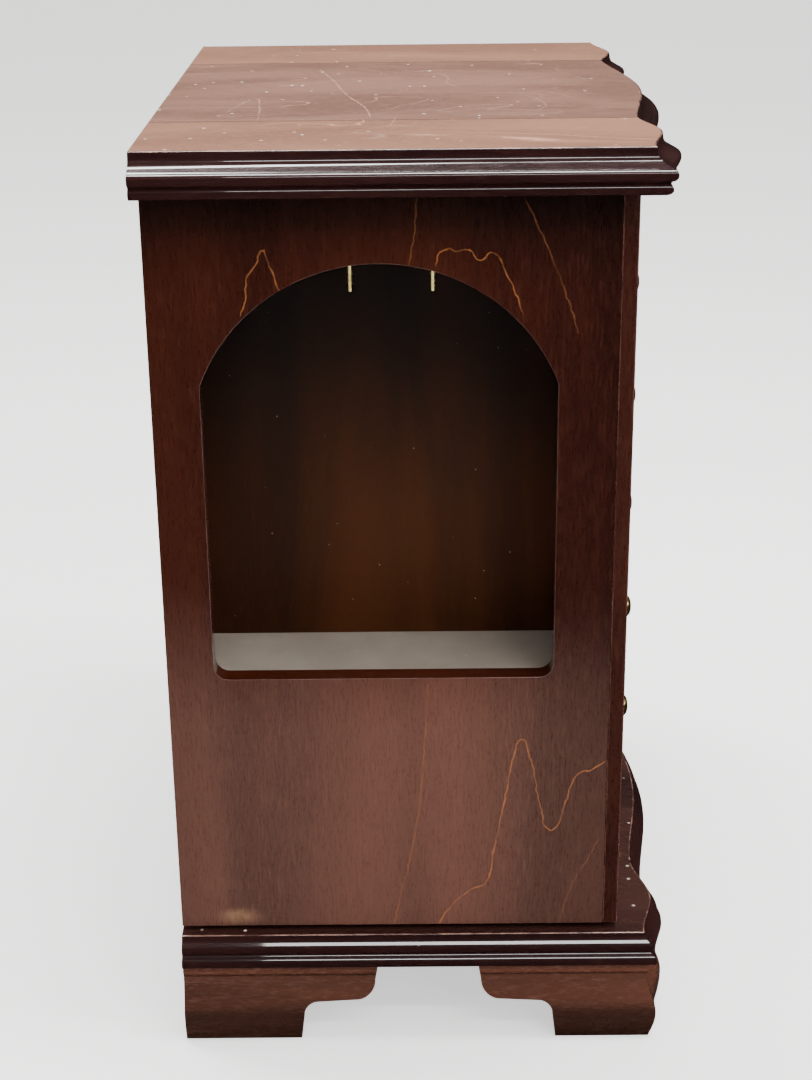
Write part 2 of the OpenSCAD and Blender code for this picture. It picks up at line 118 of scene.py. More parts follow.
def newPiece(name, points, edges=(), faces=()):
    mesh = bpy.data.meshes.new(name)
    mesh.from_pydata(points, edges, faces)
    piece = bpy.data.objects.new(name, mesh)
    bpy.context.collection.objects.link(piece)
    return piece


def applyAll(piece):
    pick(piece)
    for modifier in list(piece.modifiers):
        bpy.ops.object.modifier_apply(modifier=modifier.name)


def bevelEdges(piece, width, segments=3, angle=30, slot=-1):
    bevel = piece.modifiers.new("arris", "BEVEL")
    bevel.width = width
    bevel.segments = segments
    bevel.limit_method = "ANGLE"
    bevel.angle_limit = math.radians(angle)
    bevel.use_clamp_overlap = True
    bevel.material = slot
    applyAll(piece)


def smoothOff(piece, angle=35):
    pick(piece)
    bpy.ops.object.shade_smooth_by_angle(angle=math.radians(angle))
    piece.modifiers.new("flats", "WEIGHTED_NORMAL").keep_sharp = True
    applyAll(piece)


def cutWith(piece, cutter, operation="DIFFERENCE"):
    cut = piece.modifiers.new("cut", "BOOLEAN")
    cut.operation = operation
    cut.solver = "EXACT"
    cut.object = cutter
    applyAll(piece)


def drop(*pieces):
    deselectAll()
    for piece in pieces:
        bpy.data.objects.remove(piece)


def cubeBetween(name, low, high):
    deselectAll()
    middle = (Vector(low) + Vector(high)) / 2
    bpy.ops.mesh.primitive_cube_add(size=1, location=middle)
    cube = bpy.context.object
    cube.name = name
    cube.scale = Vector(high) - Vector(low)
    bpy.ops.object.transform_apply(location=True, scale=True)
    return cube


def joinUp(name, pieces):
    pick(*pieces)
    if len(pieces) > 1:
        bpy.ops.object.join()
    whole = bpy.context.object
    whole.name = name
    whole.data.name = name
    return whole


def mirrorCopy(piece, name):
    pick(piece)
    bpy.ops.object.duplicate()
    twin = bpy.context.object
    twin.name = name
    twin.scale.x = -1
    bpy.ops.object.transform_apply(scale=True)
    bpy.ops.object.mode_set(mode="EDIT")
    faceOut()
    endEdit()
    return twin


def dress(piece, *materials):
    # slot by slot, because clearing the list would reset each face's slot
    slots = piece.data.materials
    for index, material in enumerate(materials):
        if index < len(slots):
            slots[index] = material
        else:
            slots.append(material)


def finishPiece(piece, body, slotName, *nodes):
    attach(piece, body)
    if nodes:
        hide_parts(*nodes)


def setInput(tree, node, key, value):
    if isinstance(value, bpy.types.NodeSocket):
        tree.links.new(value, node.inputs[key])
    else:
        node.inputs[key].default_value = value


def addNode(tree, kind, inputs=None, **settings):
    made = tree.nodes.new(kind)
    for key, value in settings.items():
        setattr(made, key, value)
    for key, value in (inputs or {}).items():
        setInput(tree, made, key, value)
    return made


def ramp(tree, value, low, high, toLow=0.0, toHigh=1.0):
    made = addNode(tree, "ShaderNodeMapRange", {"Value": value, "From Min": low, "From Max": high,
                   "To Min": toLow, "To Max": toHigh})
    return made.outputs[0]


def calc(tree, operation, first, second=0.5, third=0.5):
    made = addNode(tree, "ShaderNodeMath", {0: first, 1: second, 2: third}, operation=operation)
    return made.outputs[0]


def times(tree, first, second):
    return calc(tree, "MULTIPLY", first, second)


def vectorCalc(tree, operation, first, second=(0, 0, 0), third=(0, 0, 0)):
    made = addNode(tree, "ShaderNodeVectorMath", {0: first, 1: second, 2: third}, operation=operation)
    return made.outputs


def fade(tree, value, low, high, toLow=0.0, toHigh=1.0):
    made = addNode(tree, "ShaderNodeMapRange", {"Value": value, "From Min": low, "From Max": high,
                   "To Min": toLow, "To Max": toHigh}, interpolation_type="SMOOTHSTEP")
    return made.outputs[0]


def blendColour(tree, share, first, second):
    made = addNode(tree, "ShaderNodeMix", {0: share, 6: first, 7: second}, data_type="RGBA")
    return made.outputs[2]


def noise(tree, vector, scale, detail=3.0, rough=0.55, distort=0.0):
    return addNode(tree, "ShaderNodeTexNoise", {"Vector": vector, "Scale": scale, "Detail": detail,
                   "Roughness": rough, "Distortion": distort}).outputs[0]


def newGroup(name, inputs, outputs=(("Mask", "Float"),)):
    # every group starts with a vector; the other inputs are colours or numbers
    tree = bpy.data.node_groups.new(name, "ShaderNodeTree")
    tree.interface.new_socket(name="Vector", in_out="INPUT", socket_type="NodeSocketVector")
    for label, value in inputs.items():
        kind = "NodeSocketColor" if isinstance(value, tuple) else "NodeSocketFloat"
        tree.interface.new_socket(name=label, in_out="INPUT", socket_type=kind).default_value = value
    for label, kind in outputs:
        tree.interface.new_socket(name=label, in_out="OUTPUT", socket_type="NodeSocket" + kind)
    given = tree.nodes.new("NodeGroupInput").outputs
    return tree, given, tree.nodes.new("NodeGroupOutput").inputs


def useGroup(tree, group, inputs):
    made = tree.nodes.new("ShaderNodeGroup")
    made.node_tree = group
    for key, value in inputs.items():
        setInput(tree, made, key, value)
    return made.outputs


def layOn(tree, colour, mask, strength, paint):
    return blendColour(tree, times(tree, mask, strength), colour, paint)


def makeStainGroup():
    tree, given, out = newGroup("stainedGrain",
        {"Deep": (0.02, 0.005, 0.003, 1), "Warm": (0.08, 0.02, 0.01, 1), "Fleck": (0.15, 0.05, 0.02, 1),
         "Cloud Scale": 14.0, "Grain Scale": 260.0, "Fleck Share": 0.3, "Pore Value": 0.78},
        [("Color", "Color"), ("Height", "Float")])
    cloud = noise(tree, given["Vector"], given["Cloud Scale"], 4.0, 0.6, 0.4)
    streak = noise(tree, given["Vector"], given["Grain Scale"], 5.0, 0.65)
    fine = noise(tree, given["Vector"], times(tree, given["Grain Scale"], 3.1), 2.0, 0.5)
    base = blendColour(tree, fade(tree, cloud, 0.32, 0.68), given["Deep"], given["Warm"])
    share = times(tree, fade(tree, streak, 0.5, 0.72), given["Fleck Share"])
    flecked = blendColour(tree, share, base, given["Fleck"])
    pores = ramp(tree, fine, 0.3, 0.48, given["Pore Value"], 1.0)
    toned = addNode(tree, "ShaderNodeHueSaturation", {"Value": pores, "Color": flecked})
    tree.links.new(toned.outputs[0], out["Color"])
    coarse = times(tree, streak, 0.6)
    tree.links.new(calc(tree, "ADD", coarse, times(tree, fine, 0.4)), out["Height"])
    return tree


def makeFigureGroup():
    tree, given, out = newGroup("figureLines", {"Scale": 9.0, "Lines": 6.0, "Width": 0.03, "Keep": 0.5})
    field = noise(tree, given["Vector"], given["Scale"], 2.0, 0.35, 0.6)
    ragged = noise(tree, given["Vector"], times(tree, given["Scale"], 22), 3.0, 0.6)
    counted = calc(tree, "MULTIPLY_ADD", field, given["Lines"], times(tree, ragged, 0.06))
    near = calc(tree, "ABSOLUTE", calc(tree, "SUBTRACT", calc(tree, "FRACT", counted), 0.5))
    line = fade(tree, near, 0.0, given["Width"], 1.0, 0.0)
    kept = noise(tree, given["Vector"], times(tree, given["Scale"], 1.7), 1.0, 0.5)
    shown = ramp(tree, kept, given["Keep"], calc(tree, "ADD", given["Keep"], 0.12))
    tree.links.new(times(tree, line, shown), out["Mask"])
    return tree


def drawSpecks(tree, vector, scale, size, share):
    # some of the cells hold a speck, each of its own strength
    cells = addNode(tree, "ShaderNodeTexVoronoi", {"Vector": vector, "Scale": scale}).outputs
    near = ramp(tree, cells["Distance"], times(tree, size, 0.5), size, 1.0, 0.0)
    drawn = addNode(tree, "ShaderNodeSeparateColor", {"Color": cells["Color"]}).outputs
    chosen = calc(tree, "LESS_THAN", drawn[0], share)
    strength = calc(tree, "MULTIPLY_ADD", drawn[1], 0.7, 0.3)
    return times(tree, times(tree, near, chosen), strength)


def makeSpeckGroup():
    tree, given, out = newGroup("dustSpecks", {"Scale": 260.0, "Size": 0.16, "Share": 0.06})
    specks = drawSpecks(tree, given["Vector"], given["Scale"], given["Size"], given["Share"])
    tree.links.new(specks, out["Mask"])
    return tree


def makeScratchGroup():
    tree, given, out = newGroup("fineScratches", {"Scale": 22.0, "Width": 0.006, "Keep": 0.56})
    bent = addNode(tree, "ShaderNodeTexNoise", {"Vector": given["Vector"], "Scale": 7.0, "Detail": 1.0})
    mixed = addNode(tree, "ShaderNodeMix", {0: 0.08, 4: given["Vector"], 5: bent.outputs["Color"]},
                    data_type="VECTOR")
    cells = addNode(tree, "ShaderNodeTexVoronoi", {"Vector": mixed.outputs[1], "Scale": given["Scale"]},
                    feature="DISTANCE_TO_EDGE")
    line = ramp(tree, cells.outputs["Distance"], 0.0, given["Width"], 1.0, 0.0)
    kept = noise(tree, given["Vector"], times(tree, given["Scale"], 1.3), 2.0, 0.6)
    shown = ramp(tree, kept, given["Keep"], calc(tree, "ADD", given["Keep"], 0.1))
    tree.links.new(times(tree, line, shown), out["Mask"])
    return tree


stroke = {
    "shake": 1.6 * mm,  # how far a drawn line wanders
    "shakeScale": 420.0,
    "step": 0.4 * mm,  # for measuring a line's slope
}


def curveHeight(tree, run, points):
    # reads the line's height at each place along it, from a curve through the drawn points
    runs = [p[0] * mm for p in points]
    rises = [p[1] * mm for p in points]
    runLow, runHigh, riseLow, riseHigh = min(runs), max(runs), min(rises), max(rises)
    curve = addNode(tree, "ShaderNodeFloatCurve", {"Value": ramp(tree, run, runLow, runHigh)})
    line = curve.mapping.curves[0]
    spots = sorted(((r - runLow) / (runHigh - runLow), (h - riseLow) / (riseHigh - riseLow))
                   for r, h in zip(runs, rises))
    line.points[0].location = spots[0]
    line.points[1].location = spots[-1]
    for spot in spots[1:-1]:
        line.points.new(*spot)
    curve.mapping.update()
    return ramp(tree, curve.outputs[0], 0.0, 1.0, riseLow, riseHigh)


def makeStrokeGroup(name, points, along):
    # one drawn figure line: its points run along one axis, and the other follows a curve
    tree, given, out = newGroup(name, {"Width": 0.6 * mm})
    wobble = addNode(tree, "ShaderNodeTexNoise", {"Vector": given["Vector"],
                     "Scale": stroke["shakeScale"], "Detail": 2.0})
    shaken = vectorCalc(tree, "SUBTRACT", wobble.outputs["Color"], (0.5, 0.5, 0.5))[0]
    moved = vectorCalc(tree, "MULTIPLY_ADD", shaken, (0, stroke["shake"], stroke["shake"]),
                       given["Vector"])[0]
    split = addNode(tree, "ShaderNodeSeparateXYZ", {0: moved}).outputs
    run, rise = split[along], split["Z" if along == "Y" else "Y"]
    step = stroke["step"]
    after = curveHeight(tree, calc(tree, "ADD", run, step), points)
    before = curveHeight(tree, calc(tree, "ADD", run, -step), points)
    slope = calc(tree, "DIVIDE", calc(tree, "SUBTRACT", after, before), 2 * step)
    steep = calc(tree, "SQRT", calc(tree, "MULTIPLY_ADD", slope, slope, 1.0))
    off = calc(tree, "ABSOLUTE", calc(tree, "SUBTRACT", rise, curveHeight(tree, run, points)))
    near = fade(tree, calc(tree, "DIVIDE", off, steep), 0.0, given["Width"], 1.0, 0.0)
    begun = calc(tree, "GREATER_THAN", run, min(p[0] for p in points) * mm)
    inside = times(tree, begun, calc(tree, "LESS_THAN", run, max(p[0] for p in points) * mm))
    uneven = fade(tree, noise(tree, given["Vector"], 160.0, 2.0), 0.3, 0.6, 0.35, 1.0)
    drawn = times(tree, near, inside)
    tree.links.new(times(tree, drawn, uneven), out["Mask"])
    return tree


stainedGrain = makeStainGroup()
figureLines = makeFigureGroup()
dustSpecks = makeSpeckGroup()
fineScratches = makeScratchGroup()
print("effects made")


def startMaterial(name, **shaderValues):
    material = bpy.data.materials.new(name)
    material.use_nodes = True
    tree = material.node_tree
    shader = tree.nodes["Principled BSDF"]
    for key, value in shaderValues.items():
        shader.inputs[key.replace("_", " ")].default_value = value
    return material, tree, shader


def objectVector(tree, scale=(1, 1, 1), shift=(0, 0, 0)):
    place = addNode(tree, "ShaderNodeTexCoord")
    mapping = addNode(tree, "ShaderNodeMapping", {"Vector": place.outputs["Object"], "Scale": scale,
                      "Location": shift})
    return mapping.outputs[0]


def dustMask(tree, vector, scale, size, share):
    return useGroup(tree, dustSpecks, {"Vector": vector, "Scale": scale, "Size": size,
                    "Share": share})["Mask"]


def setColour(tree, shader, colour):
    tree.links.new(colour, shader.inputs["Base Color"])


def setRoughness(tree, shader, value, low, high):
    tree.links.new(fade(tree, value, 0.3, 0.7, low, high), shader.inputs["Roughness"])


def bump(tree, shader, height, strength, distance):
    made = addNode(tree, "ShaderNodeBump", {"Height": height, "Strength": strength, "Distance": distance})
    tree.links.new(made.outputs[0], shader.inputs["Normal"])


grainAlong = {"X": (0.12, 1, 1), "Y": (1, 0.12, 1), "Z": (1, 1, 0.12), "faintY": (1, 0.35, 1)}

woodLook = {
    # the deep, warm and fleck colours of each stain, and of the door's lower part with its painted bounce
    # light
    "doorUpper": ((0.020, 0.0028, 0.0011), (0.049, 0.0078, 0.0022), (0.11, 0.024, 0.006)),
    # painted bounce light and reflection: the pale colours of the door's lower part
    "doorLowerBounceLit": ((0.068, 0.028, 0.020), (0.110, 0.042, 0.029), (0.17, 0.072, 0.042)),
    "front": ((0.026, 0.0055, 0.0026), (0.075, 0.017, 0.007), (0.14, 0.04, 0.014)),
    "lid": ((0.135, 0.068, 0.050), (0.205, 0.107, 0.077), (0.30, 0.17, 0.125)),
    "strip": ((0.18, 0.087, 0.058), (0.245, 0.122, 0.079), (0.37, 0.20, 0.135)),
    "moulding": ((0.010, 0.0032, 0.0034), (0.024, 0.0075, 0.0070), (0.05, 0.017, 0.012)),
    "ledge": ((0.018, 0.0062, 0.0055), (0.046, 0.017, 0.013), (0.08, 0.032, 0.022)),
    "feet": ((0.045, 0.015, 0.009), (0.100, 0.034, 0.020), (0.17, 0.065, 0.033)),
    "inside": ((0.020, 0.0058, 0.0018), (0.062, 0.0180, 0.0052), (0.075, 0.025, 0.010)),
    "back": ((0.026, 0.0095, 0.0055), (0.040, 0.0145, 0.0080), (0.065, 0.025, 0.013)),
    "pale": ((0.34, 0.20, 0.105), (0.48, 0.31, 0.175), (0.62, 0.44, 0.27)),
}

marks = {
    "figureLift": 2.2,  # how much paler than the flecks the figure lines are
    "scratch": (0.42, 0.30, 0.22, 1),
    "dust": (0.74, 0.64, 0.54, 1),
    "lidLine": (0.50, 0.30, 0.20, 1),
    "doorLine": (0.34, 0.115, 0.03, 1),
    "lidWidth": 0.45 * mm,
    "doorWidth": 0.42 * mm,
}


def stainColours(look):
    return {label: part + (1,) for label, part in zip(("Deep", "Warm", "Fleck"), woodLook[look])}


def shadeBy(tree, value, colour):
    return addNode(tree, "ShaderNodeHueSaturation", {"Value": value, "Color": colour}).outputs[0]


def woodMaterial(name, look, along, rough=0.2, coat=0.6, figure=0.0, specks=0.0, scratches=0.0,
                 gloss=0.5, shift=(0, 0, 0), paintedLightBands=(), strokes=None, coatRough=0.08):
    # paintedLightBands: height, half the fade, and the painted value below and above, in metres; they
    # paint shade and highlights by height
    material, tree, shader = startMaterial(name, Coat_Weight=coat, Coat_Roughness=coatRough,
                                           Specular_IOR_Level=gloss)
    vector = objectVector(tree, grainAlong[along], shift)
    plain = objectVector(tree)
    stain = useGroup(tree, stainedGrain, {"Vector": vector, "Cloud Scale": 26.0,
                     "Grain Scale": 1100.0, "Fleck Share": 0.3, **stainColours(look)})
    colour = stain["Color"]
    if figure:
        lines = useGroup(tree, figureLines, {"Vector": vector, "Scale": 26.0, "Lines": 5.0,
                         "Width": 0.022, "Keep": 0.52})
        pale = tuple(min(1, part * marks["figureLift"]) for part in woodLook[look][2]) + (1,)
        colour = layOn(tree, colour, lines["Mask"], figure, pale)
    if scratches:
        worn = useGroup(tree, fineScratches, {"Vector": plain})
        colour = layOn(tree, colour, worn["Mask"], scratches, marks["scratch"])
    if specks:
        dust = dustMask(tree, plain, 210.0, 0.17, 0.16 * specks)
        colour = layOn(tree, colour, dust, specks, marks["dust"])
    for label, (way, strength, points) in (strokes or {}).items():
        # strokes lie in the level plane, so X stands in for the height
        level = addNode(tree, "ShaderNodeSeparateXYZ", {0: plain}).outputs
        swung = addNode(tree, "ShaderNodeCombineXYZ", {1: level["Y"], 2: level["X"]}).outputs[0]
        line = useGroup(tree, makeStrokeGroup(label, points, way),
                        {"Vector": swung, "Width": marks["lidWidth"]})
        colour = layOn(tree, colour, line["Mask"], strength, marks["lidLine"])
    # painted shade and highlights by height
    for at, over, below, above in paintedLightBands:
        rise = addNode(tree, "ShaderNodeSeparateXYZ", {0: plain}).outputs["Z"]
        colour = shadeBy(tree, fade(tree, rise, at - over, at + over, below, above), colour)
    setColour(tree, shader, colour)
    wavy = noise(tree, plain, 55.0, 2.0)
    setRoughness(tree, shader, stain["Height"], rough, rough + 0.12)
    bump(tree, shader, calc(tree, "MULTIPLY_ADD", wavy, 2.5, stain["Height"]), 0.12, 0.00012)
    return material


doorFigure = {
    # drawn on the door's face in millimetres from its middle line (towards the back) and bottom edge
    "bigFlame": ("Y", 1.0, [(-14.5, 0), (-20, 9), (-26, 14.3), (-32, 18), (-34.5, 31), (-38.4, 52),
                            (-41.5, 70), (-44, 75.6), (-47, 69), (-51, 50), (-54, 39.5), (-56.5, 39.8),
                            (-60, 50), (-64, 61.5), (-69, 63.5), (-74, 67)]),
    "leftFlame": ("Y", 0.9, [(49, 231), (47.4, 236), (46.4, 243), (43.5, 248), (41.2, 252.5),
                             (39.6, 249), (38.4, 246), (37.2, 242), (35, 236)]),
    "rightFlame": ("Y", 0.9, [(-14.4, 247), (-18.2, 252.5), (-21, 251.5), (-25.4, 252), (-28.4, 248.6),
                              (-33, 250.8), (-37, 245), (-42.6, 231)]),
    "longLine": ("Z", 0.55, [(0, 1.9), (12, -0.5), (30, -4.5), (52, -8), (75, -9.8), (98, -11)]),
    "lowLine": ("Z", 0.35, [(0, -58.6), (15, -62.5), (26, -68), (36, -73)]),
    "highLine": ("Z", 0.4, [(224, -61), (232, -58.7), (249, -52), (268, -43.5)]),
    "shortLine": ("Z", 0.35, [(247, -5.5), (256, -7.6), (269, -8.6)]),
}


lidFigure = {
    # drawn on the lid in millimetres: along Z here means across the lid, along Y from front to back
    "lidLong": ("Z", 0.55, [(-62, 16), (-44, 18), (-12, 26), (18, 31), (50, 38)]),
    "lidArch": ("Y", 0.5, [(54, -66), (55.5, -38), (58, -20), (61, -27), (66, -50)]),
    "lidShort": ("Z", 0.45, [(4, -16), (16, -11), (22, -12), (38, -8)]),
}


doorTone = {
    # heights and places are metres from the door's middle line and bottom edge
    "bounceGlow": (0.092, 0.152),  # the pale lower colour with its painted bounce light and reflection gives way to the red stain between these heights
    # painted shadow of the top moulding on the door's upper part
    "mouldingShadow": (0.235, 0.272, 0.32),
    "edgeDark": (0.062, 0.078, 0.8),
    "frontDark": (-0.074, -0.034, 0.7),
    "lineStrength": 0.65,
    "dust": (0.5, 0.4, 0.32, 1),
    "scuff": (0.45, 0.24, 0.12, 1),
    "scuffAt": (0, 0.0585, 0.004),
    "scuffFlat": (0, 1, 2.4),
    "scuffReach": (0.001, 0.011, 0.5),
}


def makeDoorMaterial():
    material, tree, shader = startMaterial("doorVeneer", Coat_Weight=0.35, Coat_Roughness=0.1,
                                           Specular_IOR_Level=0.3)
    place = addNode(tree, "ShaderNodeTexCoord").outputs["Object"]
    plain = vectorCalc(tree, "SUBTRACT", place, (0, doorMidY, doorLow.z))[0]
    vector = addNode(tree, "ShaderNodeMapping", {"Vector": plain, "Scale": grainAlong["Z"]}).outputs[0]
    upper = useGroup(tree, stainedGrain, {"Vector": vector, "Cloud Scale": 22.0, "Grain Scale": 1200.0,
                     "Fleck Share": 0.3, "Pore Value": 0.86, **stainColours("doorUpper")})
    # painted bounce light and reflection: the pale colour of the door's lower part
    bounceLitStain = useGroup(tree, stainedGrain, {"Vector": vector, "Cloud Scale": 22.0, "Grain Scale": 1200.0,
                     "Fleck Share": 0.45, **stainColours("doorLowerBounceLit")})
    split = addNode(tree, "ShaderNodeSeparateXYZ", {0: plain}).outputs
    ragged = calc(tree, "MULTIPLY_ADD", noise(tree, plain, 16.0, 2.0), 0.03, split["Z"])
    # the painted bounce light is dimmer towards the front edge
    start, end, value = doorTone["frontDark"]
    bounceGlow = shadeBy(tree, fade(tree, split["Y"], start, end, value, 1.0), bounceLitStain["Color"])
    colour = blendColour(tree, fade(tree, ragged, *doorTone["bounceGlow"]), bounceGlow, upper["Color"])
    # painted shadow of the top moulding darkens the door near its top, and the colour is darker towards
    # both upright edges
    start, end, value = doorTone["mouldingShadow"]
    topShade = fade(tree, split["Z"], start, end, 1.0, value)
    start, end, value = doorTone["edgeDark"]
    edgeShade = fade(tree, calc(tree, "ABSOLUTE", split["Y"]), start, end, 1.0, value)
    colour = shadeBy(tree, times(tree, topShade, edgeShade), colour)
    for name, (along, strength, points) in doorFigure.items():
        line = useGroup(tree, makeStrokeGroup(name, points, along),
                        {"Vector": plain, "Width": marks["doorWidth"]})
        colour = layOn(tree, colour, line["Mask"], strength * doorTone["lineStrength"], marks["doorLine"])
    colour = layOn(tree, colour, dustMask(tree, plain, 190.0, 0.10, 0.03), 0.5, doorTone["dust"])
    # a rubbed patch by the rear bottom corner
    scuff = vectorCalc(tree, "SUBTRACT", plain, doorTone["scuffAt"])[0]
    flat = vectorCalc(tree, "MULTIPLY", scuff, doorTone["scuffFlat"])[0]
    away = vectorCalc(tree, "LENGTH", flat)["Value"]
    start, end, value = doorTone["scuffReach"]
    worn = times(tree, fade(tree, away, start, end, value, 0.0), noise(tree, plain, 300.0, 3.0))
    colour = blendColour(tree, worn, colour, doorTone["scuff"])
    setColour(tree, shader, colour)
    setRoughness(tree, shader, upper["Height"], 0.24, 0.36)
    wavy = noise(tree, plain, 45.0, 2.0)
    bump(tree, shader, calc(tree, "MULTIPLY_ADD", wavy, 2.5, upper["Height"]), 0.12, 0.00012)
    return material


def makeArrisMaterial(name, worn, shade):
    # the thin rounded edge: its pale colour is partly rubbed stain and partly a painted highlight, and
    # the lacquer catches the light
    material, tree, shader = startMaterial(name, Coat_Weight=0.8, Coat_Roughness=0.06)
    plain = objectVector(tree)
    patch = fade(tree, noise(tree, plain, 90.0, 4.0, 0.65), 0.36, 0.62)
    grain = noise(tree, plain, 900.0, 2.0)
    colour = blendColour(tree, patch, shade, worn)
    setColour(tree, shader, blendColour(tree, fade(tree, grain, 0.3, 0.6, 0.45, 0.0), colour, shade))
    setRoughness(tree, shader, grain, 0.16, 0.3)
    bump(tree, shader, grain, 0.1, 0.0001)
    return material


felt = {
    "dark": (0.310, 0.258, 0.222, 1),
    "light": (0.390, 0.330, 0.285, 1),
    "fuzz": (0.17, 0.14, 0.12, 1),
    "lint": (0.6, 0.56, 0.5, 1),
}


def makeFeltMaterial():
    material, tree, shader = startMaterial("greyFelt", Sheen_Weight=0.15, Sheen_Roughness=0.5,
                                           Specular_IOR_Level=0.1)
    plain = objectVector(tree)
    fuzz = noise(tree, plain, 2600.0, 3.0, 0.7)
    cloud = noise(tree, plain, 38.0, 3.0)
    lint = dustMask(tree, plain, 320.0, 0.1, 0.03)
    shade = blendColour(tree, fade(tree, cloud, 0.3, 0.7), felt["dark"], felt["light"])
    fuzzy = blendColour(tree, fade(tree, fuzz, 0.35, 0.65, 0.0, 0.4), shade, felt["fuzz"])
    setColour(tree, shader, layOn(tree, fuzzy, lint, 0.4, felt["lint"]))
    setRoughness(tree, shader, fuzz, 0.85, 1.0)
    bump(tree, shader, fuzz, 0.5, 0.0003)
    return material


def makeBrassMaterial(name, clean, dull):
    material, tree, shader = startMaterial(name, Metallic=1.0)
    plain = objectVector(tree)
    tarnish = fade(tree, noise(tree, plain, 240.0, 4.0, 0.6), 0.4, 0.72)
    fine = noise(tree, plain, 1500.0, 3.0)
    setColour(tree, shader, blendColour(tree, tarnish, clean, dull))
    tree.links.new(calc(tree, "MULTIPLY_ADD", fine, 0.1, fade(tree, tarnish, 0, 1, 0.14, 0.3)),
                   shader.inputs["Roughness"])
    bump(tree, shader, fine, 0.06, 0.0001)
    return material


glass = {
    "tint": (0.97, 0.95, 0.92, 1),
    "mirrored": (0.3, 0.3, 0.3, 1),  # how much the pane mirrors
    "shadow": (0.9, 0.91, 0.9, 1),
    "dust": (0.35, 0.32, 0.28, 1),
    "dustShare": 0.35,
    "specks": (330.0, 0.09, 0.045),  # scale, size and share of the cells
}


def makeGlassMaterial():
    # lamps shine through the pane, and fine dust lies on it
    material, tree, shader = startMaterial("windowGlass", Transmission_Weight=1.0, IOR=1.45,
                                           Specular_Tint=glass["mirrored"], Base_Color=glass["tint"])
    plain = objectVector(tree)
    dust = dustMask(tree, plain, *glass["specks"])
    tree.links.new(times(tree, dust, 0.6), shader.inputs["Roughness"])
    dusty = addNode(tree, "ShaderNodeBsdfDiffuse", {"Color": glass["dust"]})
    clear = addNode(tree, "ShaderNodeBsdfTransparent", {"Color": glass["shadow"]})
    dark = addNode(tree, "ShaderNodeBsdfDiffuse", {"Color": (0, 0, 0, 1)})
    path = addNode(tree, "ShaderNodeLightPath").outputs
    specks = drawSpecks(tree, plain, *glass["specks"])
    spotted = addNode(tree, "ShaderNodeMixShader", {0: times(tree, specks, glass["dustShare"]),
                      1: shader.outputs[0], 2: dusty.outputs[0]})
    lit = addNode(tree, "ShaderNodeMixShader", {0: path["Is Shadow Ray"], 1: spotted.outputs[0],
                  2: clear.outputs[0]})
    # light thrown back inside the pane would fog the space behind it, so it ends there
    behind = addNode(tree, "ShaderNodeNewGeometry").outputs["Backfacing"]
    thrown = calc(tree, "SUBTRACT", path["Is Glossy Ray"], path["Is Transmission Ray"])
    ended = times(tree, behind, calc(tree, "MAXIMUM", thrown, 0.0))
    pane = addNode(tree, "ShaderNodeMixShader", {0: ended, 1: lit.outputs[0], 2: dark.outputs[0]})
    tree.links.new(pane.outputs[0], tree.nodes["Material Output"].inputs["Surface"])
    return material


def makeMirrorMaterial():
    material, tree, shader = startMaterial("silverMirror", Metallic=0.8)
    plain = objectVector(tree)
    cloud = noise(tree, plain, 60.0, 3.0)
    setColour(tree, shader, blendColour(tree, cloud, (0.84, 0.86, 0.86, 1), (0.90, 0.91, 0.91, 1)))
    dust = dustMask(tree, plain, 260.0, 0.09, 0.04)
    tree.links.new(calc(tree, "MULTIPLY_ADD", dust, 0.4, times(tree, cloud, 0.03)),
                   shader.inputs["Roughness"])
    return material


# painted light bands of the feet: painted shade below, a dark line, and a painted highlight on the bead
# near the top
footPaintedLight = [(0.0145, 0.003, 0.42, 1.0), (0.0266, 0.0004, 1.0, 0.45), (0.0276, 0.0004, 1.0, 3.2)]

